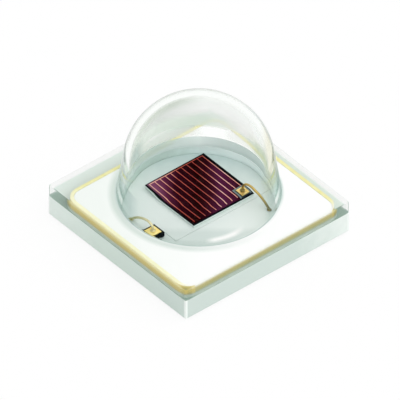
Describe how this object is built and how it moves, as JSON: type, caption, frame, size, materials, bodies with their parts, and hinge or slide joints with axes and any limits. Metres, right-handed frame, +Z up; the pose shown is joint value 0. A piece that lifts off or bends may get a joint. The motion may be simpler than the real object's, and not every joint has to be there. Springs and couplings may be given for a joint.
{
  "type": "smd led",
  "caption": "Square ceramic surface-mount power LED with a clear dome over a dark red chip and solder pads underneath.",
  "frame": {"origin": "centre of the package outline at the underside of the solder pads, on the axis of the dome", "axes": "+Z up through the dome, +X and +Y along the sides of the square package; the chip's bond wire is on the +X +Y side and the small diode on the -Y side"},
  "size_m": [0.003, 0.003, 0.0022],
  "materials": {
    "ceramic": "fine matte pale grey-green ceramic",
    "via_metal": "plated metal filling",
    "gold": "thin bright gold plating",
    "white_layer": "matte white reflective layer",
    "land_metal": "satin pale plating",
    "solder": "dull solder",
    "silicon": "polished dark semiconductor",
    "emitter": "smooth dark red semiconductor",
    "contact_metal": "fine copper coloured metal lines",
    "clear_lens": "polished clear optical silicone"
  },
  "bodies": {
    "root": {"ceramic_substrate": "ceramic", "via_left_front": "via_metal", "via_left_back": "via_metal", "via_right_front": "via_metal", "via_right_back": "via_metal", "cathode_pad": "gold", "thermal_pad": "gold", "anode_pad": "gold", "ceramic_upper_layer": "ceramic", "gold_frame": "gold", "white_layer": "white_layer", "cavity_ring": "ceramic", "die_land": "land_metal", "wire_land": "land_metal", "die_attach": "solder", "chip_carrier": "silicon", "emitter_layer": "emitter", "contact_grid": "contact_metal", "chip_bond_pad": "gold", "chip_bond_wire": "gold", "diode_attach": "solder", "protection_diode": "silicon", "diode_pad": "gold", "diode_bond_wire": "gold", "lens": "clear_lens"}
  },
  "joints": []
}
